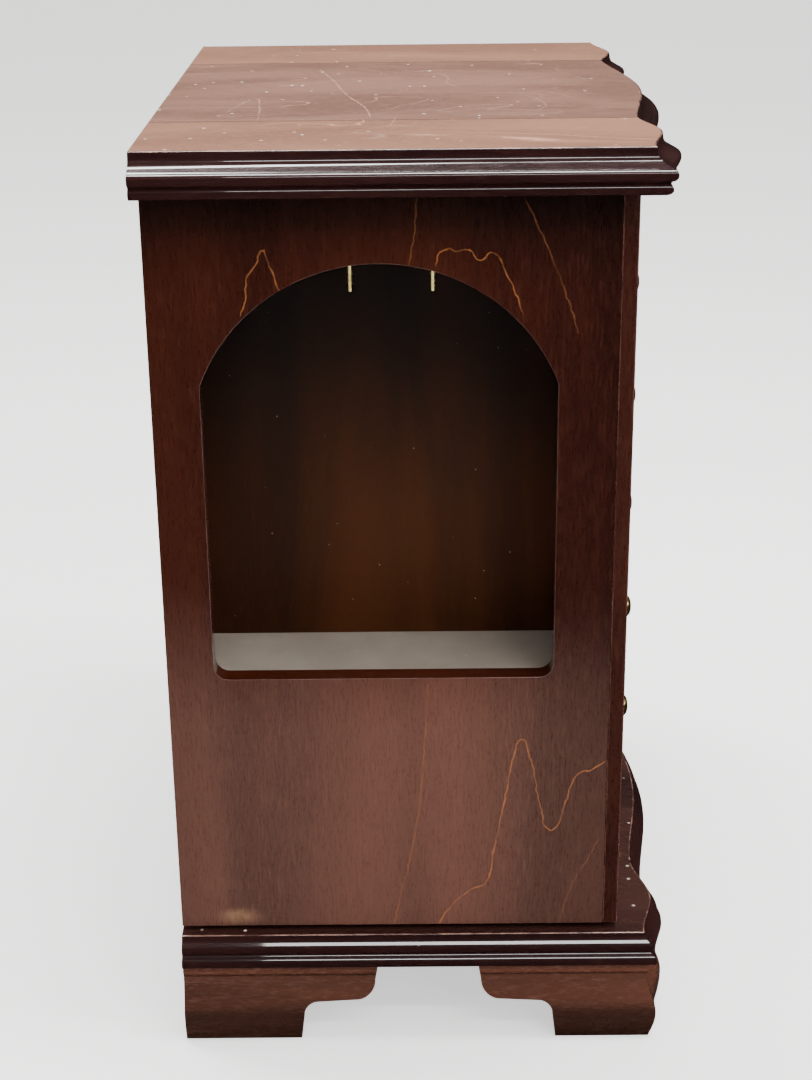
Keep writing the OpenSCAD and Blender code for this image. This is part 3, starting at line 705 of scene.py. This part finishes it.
finish = {
    "door": makeDoorMaterial(),
    "lipping": woodMaterial("doorLipping", "doorUpper", "Z", 0.24, 0.3, shift=(3, 1, 2)),
    "front": woodMaterial("frontVeneer", "front", "X", 0.2, 0.5, figure=0.5, specks=0.3),
    "frontUpright": woodMaterial("frontUpright", "front", "Z", 0.2, 0.5, figure=0.4, shift=(1, 2, 0)),
    "lid": woodMaterial("lidVeneer", "lid", "faintY", 0.34, 0.1, figure=0.4, specks=1.0,
                        scratches=0.4, gloss=0.3, strokes=lidFigure),
    "strip": woodMaterial("stripVeneer", "strip", "faintY", 0.34, 0.1, figure=0.4, specks=0.8,
                          scratches=0.4, gloss=0.3, shift=(2, 0, 1)),
    "moulding": woodMaterial("cherryMoulding", "moulding", "Y", 0.14, 0.9, specks=0.15, gloss=0.12,
                             coatRough=0.035),
    "ledge": woodMaterial("dustyLedge", "ledge", "Y", 0.2, 0.6, specks=1.0, gloss=0.2),
    "feet": woodMaterial("footVeneer", "feet", "Y", 0.2, 0.6, specks=0.15, coatRough=0.05,
                         paintedLightBands=footPaintedLight),
    # painted shade: the inner walls grow darker towards the top, under the ceiling
    "inside": woodMaterial("insideStainShaded", "inside", "Z", 0.5, 0.0, specks=0.25, gloss=0.12,
                           paintedLightBands=[(0.228, 0.05, 1.0, 0.2)]),
    "insideFlat": woodMaterial("insideFlat", "inside", "X", 0.5, 0.0, gloss=0.12),
    "back": woodMaterial("backBoard", "back", "Z", 0.45, 0.05, specks=0.1, gloss=0.2, shift=(0, 1, 2)),
    "pale": woodMaterial("paleBoxWood", "pale", "X", 0.5, 0.0, specks=0.1),
    # the pale arris colours are partly rubbed stain and partly a painted highlight
    "arris": makeArrisMaterial("rubbedLitArris", (0.30, 0.17, 0.13, 1), (0.05, 0.018, 0.015, 1)),
    "windowLitArris": makeArrisMaterial("windowLitArris", (0.17, 0.095, 0.088, 1), (0.09, 0.040, 0.036, 1)),
    "darkArris": makeArrisMaterial("darkArris", (0.10, 0.038, 0.028, 1), (0.04, 0.012, 0.009, 1)),
    "reveal": woodMaterial("windowReveal", "doorUpper", "Y", 0.14, 0.8),
    "felt": makeFeltMaterial(),
    "brass": makeBrassMaterial("polishedBrass", (0.82, 0.62, 0.26, 1), (0.55, 0.36, 0.13, 1)),
    "hook": makeBrassMaterial("paleBrass", (0.84, 0.72, 0.33, 1), (0.60, 0.47, 0.17, 1)),
    "glass": makeGlassMaterial(),
    "mirror": makeMirrorMaterial(),
}
print("finishes made:", len(finish))


shot = {
    "away": 622.4 * mm,  # in front of the near door's face
    "behind": 87.9 * mm,  # in front of the door's back edge
    "above": 398.0 * mm,  # over the door's bottom edge
    "down": math.radians(21.56),
    "turn": math.radians(-0.36),
    "roll": math.radians(-0.66),
    "lens": 65.66,
}


def makeCamera():
    deselectAll()
    place = (-doorOutX - shot["away"], doorBackY - shot["behind"], doorLow.z + shot["above"])
    bpy.ops.object.camera_add(location=place)
    camera = bpy.context.object
    camera.name = "sideCamera"
    turned = Matrix.Rotation(math.radians(-90) - shot["turn"], 3, "Z")
    tilted = Matrix.Rotation(math.radians(90) - shot["down"], 3, "X")
    rolled = Matrix.Rotation(shot["roll"], 3, "Z")
    camera.rotation_euler = (turned @ tilted @ rolled).to_euler()
    camera.data.lens = shot["lens"]
    camera.data.sensor_width = 36
    camera.data.clip_start = 0.01
    bpy.context.scene.camera = camera


lamps = {
    # name: (place, aim, size, watts)
    "overhead": ((-0.02, -0.05, 1.2), (0.0, 0.0, 0.2), (0.16, 1.1), 26.0),
    "cameraSide": ((-1.3, -0.7, 0.9), (0.0, 0.0, 0.15), (0.5, 0.6), 5.0),
    "lineLight": ((-0.78, -0.4, 1.0), (0.0, -0.4, 0.15), (1.1, 0.07), 6.0),
    "frontFill": ((-0.45, -1.35, 0.8), (0.0, 0.0, 0.15), (0.8, 0.8), 9.0),
    "backFill": ((0.6, 1.3, 0.9), (0.0, 0.0, 0.2), (1.0, 0.8), 7.0),
}


def makeLamps():
    for name, (place, aim, size, watts) in lamps.items():
        deselectAll()
        bpy.ops.object.light_add(type="AREA", location=place)
        lamp = bpy.context.object
        lamp.name = name
        lamp.data.shape = "RECTANGLE"
        lamp.data.size, lamp.data.size_y = size
        lamp.data.energy = watts
        lamp.rotation_euler = (Vector(aim) - Vector(place)).to_track_quat("-Z", "Y").to_euler()


room = {
    "strength": 0.9,
    "bright": ((0.08, 0.065, 0.06, 1), (1.0, 0.98, 0.95, 1)),  # low down, and overhead
    "dim": ((0.025, 0.018, 0.016, 1), (0.16, 0.15, 0.15, 1)),
    "backdrop": (1.6, 1.6, 1.58, 1),
    "floor": ((0.86, 0.86, 0.85, 1), (0.9, 0.9, 0.89, 1)),
    "floorSize": 60,
    "floorGlow": 0.9,
}


def makeWorld():
    world = bpy.data.worlds.new("softRoom")
    world.use_nodes = True
    bpy.context.scene.world = world
    tree = world.node_tree
    background = tree.nodes["Background"]
    background.inputs["Strength"].default_value = room["strength"]
    direction = addNode(tree, "ShaderNodeTexCoord").outputs["Generated"]
    height = addNode(tree, "ShaderNodeSeparateXYZ", {0: direction}).outputs["Z"]
    bright = blendColour(tree, fade(tree, height, -0.05, 0.3), *room["bright"])
    dim = blendColour(tree, fade(tree, height, 0.0, 0.9), *room["dim"])
    # lacquer and brass mirror a dim room, so that the lamps show as narrow lines on the mouldings
    path = addNode(tree, "ShaderNodeLightPath").outputs
    around = blendColour(tree, path["Is Glossy Ray"], bright, dim)
    seen = blendColour(tree, path["Is Camera Ray"], around, room["backdrop"])
    tree.links.new(seen, background.inputs["Color"])


def makeFloor():
    deselectAll()
    bpy.ops.mesh.primitive_plane_add(size=room["floorSize"], location=(0, 0, 0))
    floor = bpy.context.object
    floor.name = "paleFloor"
    material, tree, shader = startMaterial("paleFloor", Roughness=0.85, Specular_IOR_Level=0.1,
                                           Emission_Color=(1, 1, 1, 1))
    cloud = noise(tree, objectVector(tree), 6.0, 3.0)
    setColour(tree, shader, blendColour(tree, cloud, *room["floor"]))
    # a little glow keeps the floor as pale as a studio sweep
    seen = addNode(tree, "ShaderNodeLightPath").outputs["Is Camera Ray"]
    tree.links.new(times(tree, seen, room["floorGlow"]), shader.inputs["Emission Strength"])
    dress(floor, material)
    floor.visible_glossy = False  # the lacquer mirrors the dim room, not the floor


makeCamera()
makeLamps()
makeWorld()
makeFloor()
print("camera, lamps and floor placed")


# the boards with a shaped front: top frame, lid, strips, base plate and feet
topPlan = {  # millimetres from the middle, and reach past the doors' front edges
    "ear": 92, "notch": 67, "cornerReach": 3.5, "earReach": 8.5, "notchReach": 3.5, "bowReach": 11,
    "side": 8, "forward": 0, "back": 1.5,
}
basePlan = dict(topPlan, side=3.5, forward=6.2, back=0)

# profiles run upwards: height below the upper edge, and reach past it
slabProfile = [(-6.1, 4.9), (-5.5, 3.9), (-4.9, 2.75), (-4.2, 1.65), (-3.4, 0.9), (-2.4, 0.5),
               (-1.2, 0.3), (-0.5, 0.2), (-0.2, 0.08), (-0.06, -0.12), (0, -0.4)]
frameProfile = [(-8.6, 3.2), (-8.4, 3.8), (-7.9, 4.6), (-7.1, 5.15), (-6.2, 5.2), (-5.4, 4.8),
                (-4.9, 4.2), (-4.6, 4.05), (-4.3, 4.3), (-4.0, 5.0), (-3.6, 5.7), (-2.9, 6.25),
                (-2.1, 6.5), (-1.3, 6.45), (-0.7, 6.1), (-0.3, 5.5), (0, 4.9)]
baseProfile = [(-12, 3.0), (-11.7, 3.7), (-11.1, 4.25), (-10.2, 4.5), (-9.2, 4.35), (-8.4, 3.8),
               (-7.7, 2.9), (-7.2, 2.3), (-6.9, 2.2), (-6.5, 2.45), (-5.8, 2.75), (-5, 2.8),
               (-4.2, 2.55), (-3.4, 1.9), (-2.7, 1.1), (-2, 0.55), (-1.2, 0.3), (-0.5, 0.2),
               (-0.2, 0.08), (-0.06, -0.12), (0, -0.4)]
footProfile = [(-31.4, 2.2), (-31, 2.6), (-29.4, 3.0), (-27.4, 3.6), (-24.4, 4.35), (-21.4, 4.75),
               (-19, 4.8), (-17, 4.3), (-15, 3.5), (-12.5, 2.6), (-9.5, 1.8), (-7, 1.3), (-5, 1.2),
               (-3.9, 1.5), (-2.9, 2.1), (-1.9, 2.4), (-0.9, 2.2), (-0.3, 1.8), (0, 1.6)]


def ease(t):
    return t * t * (3 - 2 * t)


def frontReach(x, plan):
    away, half = abs(x), doorOutX / mm + plan["side"]
    if away >= plan["ear"]:
        share = ease(max(0, (half - away) / (half - plan["ear"])))
        return plan["cornerReach"] + (plan["earReach"] - plan["cornerReach"]) * share
    if away >= plan["notch"]:
        share = ease((away - plan["notch"]) / (plan["ear"] - plan["notch"]))
        return plan["notchReach"] + (plan["earReach"] - plan["notchReach"]) * share
    share = math.cos(math.radians(90 * away / plan["notch"])) ** 1.5
    return plan["notchReach"] + (plan["bowReach"] - plan["notchReach"]) * share


def shapedBoard(name, plan, profile, topZ, columns=128):
    # a plane, cut into columns, its front edge pushed out to the plan, then raised ring by ring
    half = doorOutX + plan["side"] * mm
    backY = doorBackY + plan["back"] * mm
    midY = doorMidY
    deselectAll()
    centre = (0, (midY + backY) / 2, topZ + profile[0][0] * mm)
    bpy.ops.mesh.primitive_plane_add(size=1, location=centre)
    board = bpy.context.object
    board.name = name
    board.scale = (2 * half, backY - midY, 1)
    bpy.ops.object.transform_apply(location=True, scale=True)
    bm = startEdit(board, "EDGE")
    for edge in bm.edges:
        edge.select = abs(edge.verts[0].co.y - edge.verts[1].co.y) < 1e-6
    showPicked(board, bm)
    bpy.ops.mesh.subdivide(number_cuts=columns - 1)
    bm = bmesh.from_edit_mesh(board.data)
    for vert in bm.verts:
        if vert.co.y < (midY + backY) / 2:
            reach = (frontReach(vert.co.x / mm, plan) + plan["forward"]) * mm
            vert.co.y = doorFrontY - reach
    pickAll()
    pushOut(bm, board, midY, profile[0][1] * mm)
    for (low, lowReach), (high, highReach) in zip(profile, profile[1:]):
        extrude(0, 0, (high - low) * mm)
        bm = bmesh.from_edit_mesh(board.data)
        pushOut(bm, board, midY, (highReach - lowReach) * mm)
    faceOut()
    endEdit()
    return board


def pushOut(bm, board, midY, reach):
    # moves the picked ring's front edge forward and its two ends sideways
    ring = [vert for vert in bm.verts if vert.select]
    endX = max(abs(vert.co.x) for vert in ring)
    for vert in ring:
        if vert.co.y < midY:
            vert.co.y -= reach
        if abs(vert.co.x) > endX - 0.001 * mm:
            vert.co.x += reach if vert.co.x > 0 else -reach
    bmesh.update_edit_mesh(board.data)


def sliceBoard(board, x, keepSign):
    # keeps the side of x that lies towards keepSign
    startEdit(board, "FACE")
    pickAll()
    bpy.ops.mesh.bisect(plane_co=(x, 0, 0), plane_no=(keepSign, 0, 0), clear_inner=True, use_fill=True)
    endEdit()


topCuts = {
    "leafLength": 24 * mm,  # hinge leaves, along the back edge
    "leafPocket": 0.8 * mm,
    "wellBack": 3 * mm,  # how far the well reaches behind the lid's mirror
    "over": 10 * mm,  # how far a cutter stands out of the board
    "arris": 0.35 * mm,
    "seam": 0.9 * mm,
    "rubbedLit": 0.25 * mm,  # height of the pale arris, rubbed and with a painted highlight
    "flat": 0.05 * mm,
}


def paintTop(board, topZ):
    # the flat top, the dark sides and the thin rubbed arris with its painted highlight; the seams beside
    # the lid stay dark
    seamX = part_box("lid")[1].x
    for face in board.data.polygons:
        if face.normal.z > 0.98 and face.center.z > topZ - topCuts["flat"]:
            face.material_index = 0
        elif abs(abs(face.center.x) - seamX) < topCuts["seam"]:
            face.material_index = 1
        elif face.center.z > topZ - topCuts["rubbedLit"]:
            face.material_index = 2
        else:
            face.material_index = 1


def leafCutters(lowZ, highZ):
    # pockets for the lid's two hinge leaves
    leafLow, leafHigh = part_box("lid_hinges")
    cutters = []
    for sign in (-1, 1):
        outer = sign * leafHigh.x
        inner = outer - sign * topCuts["leafLength"]
        cutters.append(cubeBetween("leafCut", (min(inner, outer), leafLow.y, lowZ),
                                   (max(inner, outer), leafHigh.y + topCuts["over"], highZ)))
    return cutters


def cutOut(board, cutters):
    cutter = joinUp("cutter", cutters)
    cutWith(board, cutter)
    drop(cutter)


def makeFrame():
    # the lower moulding, open over the well and let in for the hinge leaves
    low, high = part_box("top_frame")
    feltLow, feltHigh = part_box("well_felt")
    over = topCuts["over"]
    rim = shapedBoard("topFrame", topPlan, frameProfile, high.z)
    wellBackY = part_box("lid_mirror")[1].y + topCuts["wellBack"]
    well = cubeBetween("wellCut", (feltLow.x, feltLow.y, low.z - over),
                       (feltHigh.x, wellBackY, high.z + over))
    cutOut(rim, [well] + leafCutters(high.z - topCuts["leafPocket"], high.z + over))
    dress(rim, finish["moulding"])
    smoothOff(rim)
    finishPiece(rim, "case", "moulding", "top_frame")


def makeLid():
    # lid and strips are cut from one shaped slab
    lidLow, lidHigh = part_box("lid")
    stripLow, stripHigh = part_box("top_strip_left")
    topZ = lidHigh.z
    slab = shapedBoard("lidPanel", topPlan, slabProfile, topZ)
    pick(slab)
    bpy.ops.object.duplicate()
    strip = bpy.context.object
    strip.name = "topStripRight"
    sliceBoard(strip, -stripHigh.x, 1)
    sliceBoard(slab, lidLow.x, 1)
    sliceBoard(slab, lidHigh.x, -1)
    pockets = leafCutters(stripLow.z - topCuts["over"], lidLow.z + topCuts["leafPocket"])
    startEdit(slab, "FACE")
    pickAll()
    bpy.ops.mesh.bisect(plane_co=(0, 0, lidLow.z), plane_no=(0, 0, 1), clear_inner=True, use_fill=True)
    endEdit()
    cutOut(slab, pockets)
    for board, look in ((slab, "lid"), (strip, "strip")):
        bevelEdges(board, topCuts["arris"], 2, 60)
        dress(board, finish[look], finish["moulding"], finish["arris"])
        paintTop(board, topZ)
        smoothOff(board)
    finishPiece(slab, "lid", "moulding", "lid")
    twin = mirrorCopy(strip, "topStripLeft")
    paintTop(twin, topZ)
    smoothOff(twin)
    finishPiece(strip, "case", "moulding", "top_strip_right")
    finishPiece(twin, "case", "moulding", "top_strip_left")


def makeBase():
    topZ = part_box("base_plate")[1].z
    plate = shapedBoard("basePlate", basePlan, baseProfile, topZ)
    dress(plate, finish["ledge"], finish["moulding"], finish["arris"])
    paintTop(plate, topZ)
    smoothOff(plate)
    finishPiece(plate, "case", "moulding", "base_plate")


feet = {
    "thick": 10 * mm,
    "front": 32 * mm,  # length of the plain part, from the corner
    "back": 43 * mm,
    "span": 29 * mm,  # length of the scrolled part beyond it
    "over": 20 * mm,
    "depth": 100 * mm,  # of the boards before they are cut to the foot's profile
    "arris": 0.35 * mm,
    "toe": (0.05, 0.36),
    # middle and radii of each curve, along the scrolled part and up the foot
    "hollow": ((0.23, 0.38), (0.18, 0.15)),
    "shoulder": ((0.72, 0.78), (0.24, 0.23)),
    "steps": 12,
}


def footCurve(length, height, curve, start, sweep):
    middle, radii = feet[curve]
    points = []
    for step in range(feet["steps"] + 1):
        a = math.radians(start + sweep * step / feet["steps"])
        points.append((length + feet["span"] * (middle[0] + radii[0] * math.cos(a)),
                       height * (middle[1] + radii[1] * math.sin(a))))
    return points


def scrollOutline(length, height):
    # along the board from the corner, and up from the floor: a foot, a hollow and a round shoulder
    span, over, toe = feet["span"], feet["over"], feet["toe"]
    points = [(-over, -mm), (length, -mm), (length + toe[0] * span, toe[1] * height)]
    points += footCurve(length, height, "hollow", 180, -90)
    points += footCurve(length, height, "shoulder", -90, 90)
    points += [(length + span, height + mm), (-over, height + mm)]
    return points


def boardFrom(name, points, depth, place):
    # place turns (along, up) into a point; the outline is extruded by depth
    board = newPiece(name, [place(a, b) for a, b in points], faces=[list(range(len(points)))])
    startEdit(board, "FACE")
    pickAll()
    extrude(*depth)
    faceOut()
    endEdit()
    return board


def makeFeet():
    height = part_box("base_plate")[0].z
    outX = doorOutX + basePlan["side"] * mm
    ends = {"front": doorFrontY - (basePlan["forward"] + basePlan["cornerReach"]) * mm,
            "back": doorBackY + basePlan["back"] * mm}
    for place, inward in (("front", 1), ("back", -1)):
        endY = ends[place]
        faceY = endY + inward * feet["thick"]
        sideBoard = boardFrom("sideBoard", scrollOutline(feet[place], height), (feet["depth"], 0, 0),
                              lambda a, b: (outX - feet["thick"], endY + inward * a, b))
        crossBoard = boardFrom("crossBoard", scrollOutline(feet["front"], height),
                               (0, -inward * feet["depth"], 0), lambda a, b: (outX - a, faceY, b))
        cutWith(sideBoard, crossBoard, "UNION")
        foot = shapedBoard("foot", basePlan, footProfile, height)
        cutWith(foot, sideBoard, "INTERSECT")
        drop(sideBoard, crossBoard)
        bevelEdges(foot, feet["arris"], 2, 50)
        dress(foot, finish["feet"])
        smoothOff(foot)
        foot.name = place + "FootRight"
        twin = mirrorCopy(foot, place + "FootLeft")
        smoothOff(twin)
        finishPiece(foot, "case", "feet", f"foot_{place}_right")
        finishPiece(twin, "case", "feet", f"foot_{place}_left")


makeFrame()
makeLid()
print("top made")
makeBase()
makeFeet()
print("base and feet made")


rounding = {
    "door": 0.7 * mm,
    "doorRim": 3 * mm,  # the door's outer edge keeps the veneer as far in as this
    "lipping": 0.5 * mm,
    "front": 0.9 * mm,
    "box": 0.5 * mm,
    "board": 0.6 * mm,
}


# boards whose CAD shape is right are copied and get their sharp edges rounded
def roundedCopy(node, name, width, *looks):
    pick(frame["nodes"][node])
    bpy.ops.object.duplicate()
    copy = bpy.context.object
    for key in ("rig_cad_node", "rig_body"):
        if key in copy:
            del copy[key]
    copy.parent = None
    copy.name = name
    copy.data.name = name
    startEdit(copy, "VERT")
    pickAll()
    bpy.ops.mesh.remove_doubles(threshold=0.00001)
    bpy.ops.mesh.dissolve_limited(angle_limit=math.radians(0.5))
    endEdit()
    dress(copy, *[finish[look] for look in looks])
    bevelEdges(copy, width, 3, 40, 1 if len(looks) > 1 else -1)
    return copy


def roundedPiece(node, name, width, body, slotName, *looks):
    piece = roundedCopy(node, name, width, *looks)
    smoothOff(piece)
    finishPiece(piece, body, slotName, node)


def makeDoors():
    for side in sides:
        body = f"door_{side}"
        panel = roundedCopy(body, f"{side}DoorPanel", rounding["door"], "door", "windowLitArris", "reveal")
        low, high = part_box(body)
        # the window's rounded edge keeps the pale arris with its painted highlight; the outer rim takes
        # the veneer and the window's sides the reveal
        for face in panel.data.polygons:
            middle = face.center
            inward = min(middle.y - low.y, high.y - middle.y, middle.z - low.z, high.z - middle.z)
            if inward < rounding["doorRim"]:
                face.material_index = 0
            elif abs(face.normal.x) < 0.1:
                face.material_index = 2
        smoothOff(panel)
        finishPiece(panel, body, "veneer", body)
        roundedPiece(f"door_edge_{side}", f"{side}DoorLipping", rounding["lipping"], body, "veneer",
                     "lipping", "darkArris")


def makeFronts():
    for number in range(1, 6):
        body = f"drawer_{number}"
        roundedPiece(body + "_front", f"drawerFront{number}", rounding["front"], body, "veneer",
                     "front", "darkArris")
        roundedPiece(body + "_box", f"drawerBox{number}", rounding["box"], body, "inner_wood", "pale")


def makePanels():
    boards = {"frontPanelLeft": ("front_panel_left", "frontUpright"),
              "frontPanelRight": ("front_panel_right", "frontUpright"),
              "bottomRail": ("bottom_rail", "front"), "topRail": ("top_rail", "front")}
    for name, (node, look) in boards.items():
        roundedPiece(node, name, rounding["board"], "case", "veneer", look, "darkArris")


makeDoors()
makeFronts()
makePanels()
print("doors, drawers and rails rounded")


knob = {
    # radius and distance from the drawer front, for the turned outline
    "outline": [(0, 0), (4.1, 0), (4.2, 0.5), (3.9, 1.0), (3.0, 1.25), (2.3, 1.7), (1.8, 2.6),
                (1.55, 4.0), (1.5, 5.4), (1.7, 6.4), (2.3, 7.2), (3.3, 8.0), (4.2, 9.0), (4.8, 10.3),
                (5.0, 11.5), (4.8, 12.7), (4.2, 13.7), (3.3, 14.4), (2.0, 14.85), (0.9, 14.98), (0, 15)],
    "steps": 40,
}


def turned(name, outline, steps, centre, axis):
    # spins an outline of (radius, along) round an axis through centre
    start = Vector((1, 0, 0)) if abs(axis.x) < 0.5 else Vector((0, 1, 0))
    piece = newPiece(name, [centre + start * (r * mm) + axis * (a * mm) for r, a in outline],
                     [(i, i + 1) for i in range(len(outline) - 1)])
    startEdit(piece, "VERT")
    pickAll()
    bpy.ops.mesh.spin(steps=steps, angle=2 * math.pi, center=centre, axis=axis)
    faceOut(0.000005)
    endEdit()
    return piece


def makeKnobs():
    for number in range(1, 6):
        low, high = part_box(f"drawer_{number}_knob")
        centre = Vector((0, high.y, (low.z + high.z) / 2))
        piece = turned(f"drawerKnob{number}", knob["outline"], knob["steps"], centre,
                       Vector((0, -1, 0)))
        dress(piece, finish["brass"])
        smoothOff(piece, 50)
        finishPiece(piece, f"drawer_{number}", "brass", f"drawer_{number}_knob")


hook = {
    # millimetres
    "wire": 0.75, "bend": 4.6, "spacing": 27.5, "tip": 4.0, "sunk": 2.0, "wide": 3.4, "ball": 1.12,
    "collar": [(0, 0), (3.4, 0), (3.4, -0.6), (3.1, -1.1), (2.2, -1.2), (1.5, -1.5), (0.9, -2.2),
               (0, -2.2)],
    "collarSteps": 32, "wireSides": 16, "bendSteps": 18, "ballSides": 20, "ballRings": 12,
}


def makeHook(x, y, topZ, bendZ, sign):
    # a turned collar, a wire drawn down, spun round the bend and up, and a ball on its tip
    bend = hook["bend"] * mm
    tip = hook["tip"] * mm
    startZ = topZ - hook["sunk"] * mm
    collar = turned("collar", hook["collar"], hook["collarSteps"], Vector((x, y, topZ)),
                    Vector((0, 0, 1)))
    deselectAll()
    bpy.ops.mesh.primitive_circle_add(vertices=hook["wireSides"], radius=hook["wire"] * mm,
                                      location=(x, y, startZ), fill_type="NGON")
    shank = bpy.context.object
    bpy.ops.object.transform_apply(location=True)
    startEdit(shank, "FACE")
    pickAll()
    extrude(0, 0, bendZ - startZ)
    bpy.ops.mesh.spin(steps=hook["bendSteps"], angle=math.pi * sign, center=(x - sign * bend, y, bendZ),
                      axis=(0, 1, 0))
    extrude(0, 0, tip)
    faceOut(0.000005)
    endEdit()
    deselectAll()
    bpy.ops.mesh.primitive_uv_sphere_add(segments=hook["ballSides"], ring_count=hook["ballRings"],
                                         radius=hook["ball"] * mm,
                                         location=(x - sign * 2 * bend, y, bendZ + tip))
    ball = bpy.context.object
    bpy.ops.object.transform_apply(location=True)
    return [collar, shank, ball]


def makeHooks():
    low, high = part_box("necklace_hooks")
    bendZ = low.z + (hook["bend"] + hook["wire"]) * mm
    pieces = []
    for sign in (-1, 1):
        for end in (-1, 1):
            x = sign * (high.x - hook["wide"] * mm)
            y = doorMidY + end * hook["spacing"] * mm / 2
            pieces += makeHook(x, y, high.z, bendZ, sign)
    whole = joinUp("necklaceHooks", pieces)
    dress(whole, finish["hook"])
    smoothOff(whole, 40)
    finishPiece(whole, "case", "brass", "necklace_hooks")


makeKnobs()
makeHooks()
print("knobs and hooks made")


# finishes on the CAD nodes that stay
nodeFinish = {
    "inside": ["inner_wall_left", "inner_wall_right"],
    "back": ["back_panel", "back_posts", "lower_sides"],
    "insideFlat": ["deck_panel", "ceilings"],
    "pale": ["glue_blocks", "runners", "well_floor"],
    "felt": ["well_felt", "floor_felts"] + [f"drawer_{n}_felt" for n in range(1, 6)],
    "glass": ["door_glass_left", "door_glass_right"],
    "mirror": ["lid_mirror"],
    "brass": ["door_hinges", "door_leaves_left", "door_leaves_right", "lid_hinges", "lid_leaves",
              "door_clips_left", "door_clips_right"],
}
for look, names in nodeFinish.items():
    for name in names:
        node = frame["nodes"][name]
        node.data.materials.clear()
        node.data.materials.append(finish[look])
print("CAD nodes dressed")
